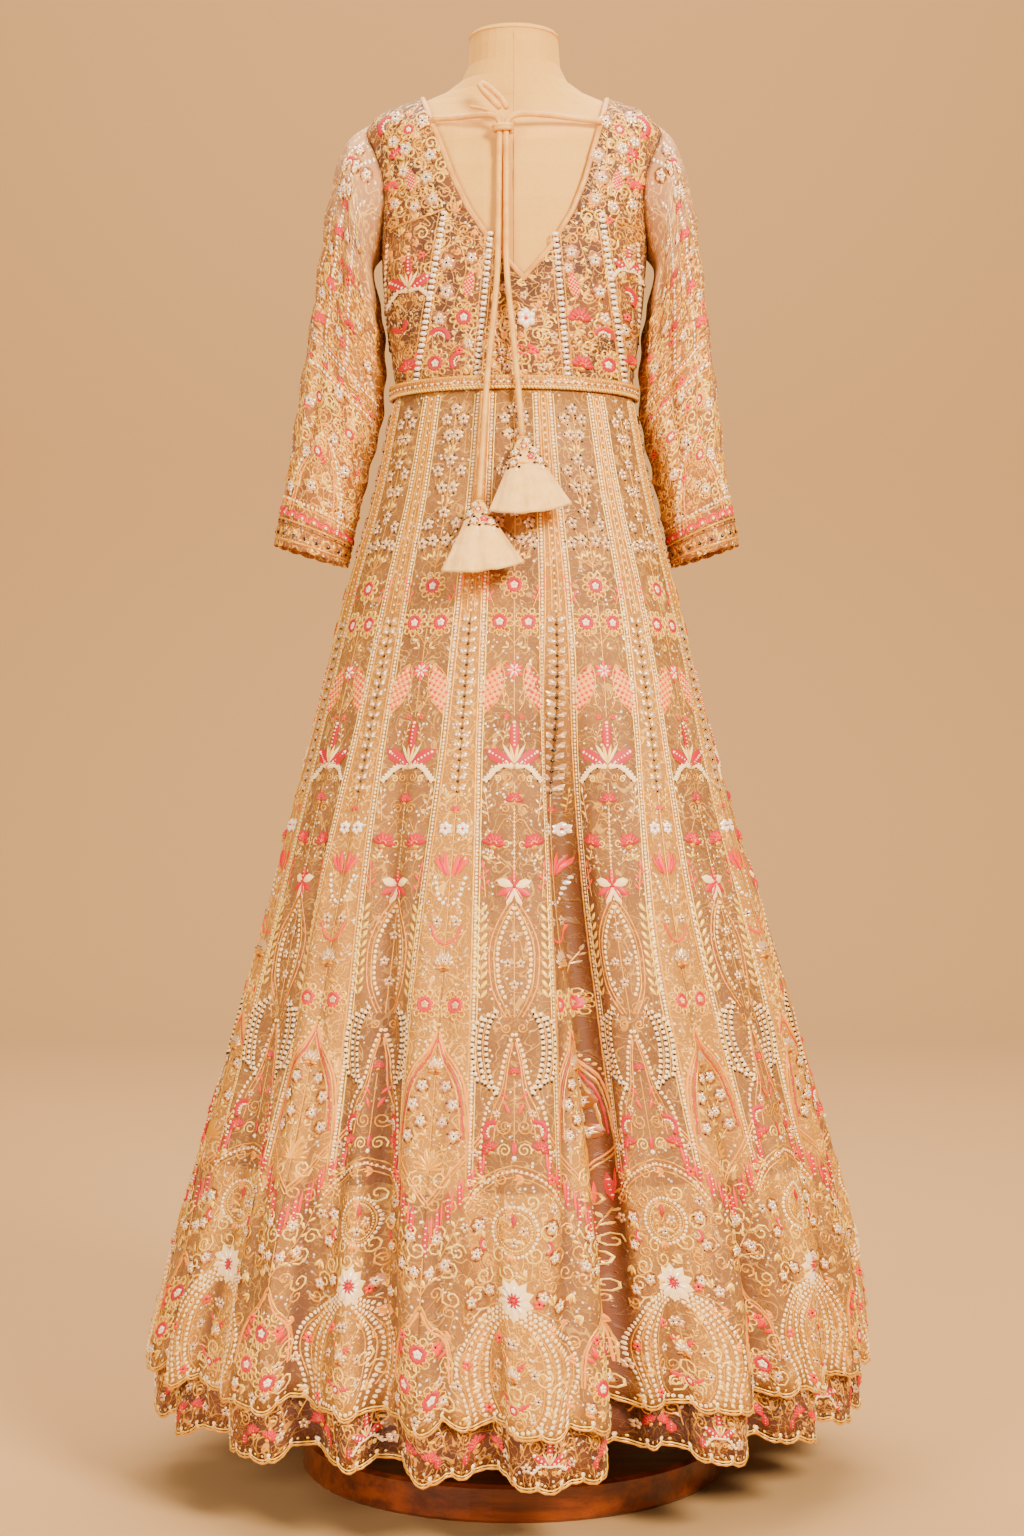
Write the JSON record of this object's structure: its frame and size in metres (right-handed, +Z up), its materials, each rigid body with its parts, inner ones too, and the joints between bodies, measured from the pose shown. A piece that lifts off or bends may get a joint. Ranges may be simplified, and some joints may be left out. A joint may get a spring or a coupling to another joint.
{
  "type": "anarkali gown on a dress form stand",
  "caption": "Long-sleeved floor-length flared gown of embroidered net with a V back and tasselled back tie, worn by a limbless dress form on a round wooden base.",
  "frame": {"origin": "middle of the round base's underside, on the floor", "axes": "+Z up the pole; -Y the way the gown's back and its tie face; +X towards the wearer's right, +Y towards the chest"},
  "size_m": [0.8448, 0.7866, 1.695],
  "materials": {
    "net": "beige net with gold, coral and silver embroidery",
    "under_net": "sheer beige net",
    "piping": "peach satin binding",
    "gold_braid": "gold thread and bead braid",
    "dori": "satin cord",
    "tassel": "folded satin",
    "form_cloth": "cream linen over a hard form",
    "pole_metal": "brushed",
    "walnut": "dark walnut, satin varnish"
  },
  "bodies": {
    "root": {"base_disc": "walnut", "pole": "pole_metal", "dress_form": "form_cloth", "kali_01": "net", "kali_02": "net", "kali_03": "net", "kali_04": "net", "kali_05": "net", "kali_06": "net", "kali_07": "net", "kali_08": "net", "kali_09": "net", "kali_10": "net", "kali_11": "net", "kali_12": "net", "under_skirt_01": "under_net", "under_skirt_02": "under_net", "under_skirt_03": "under_net", "under_skirt_04": "under_net", "under_skirt_05": "under_net", "under_skirt_06": "under_net", "back_centre": "net", "back_middle_left": "net", "back_middle_right": "net", "back_side_left": "net", "back_side_right": "net", "back_yoke_left": "net", "back_yoke_right": "net", "front_bodice_left": "net", "front_bodice_right": "net", "neck_piping": "piping", "waist_band": "gold_braid", "sleeve_left": "net", "sleeve_right": "net", "cuff_left": "net", "cuff_right": "net", "dori_left": "dori", "dori_right": "dori", "dori_bow": "dori", "dori_knot": "dori", "tassel_left": "tassel", "tassel_right": "tassel"}
  },
  "joints": []
}
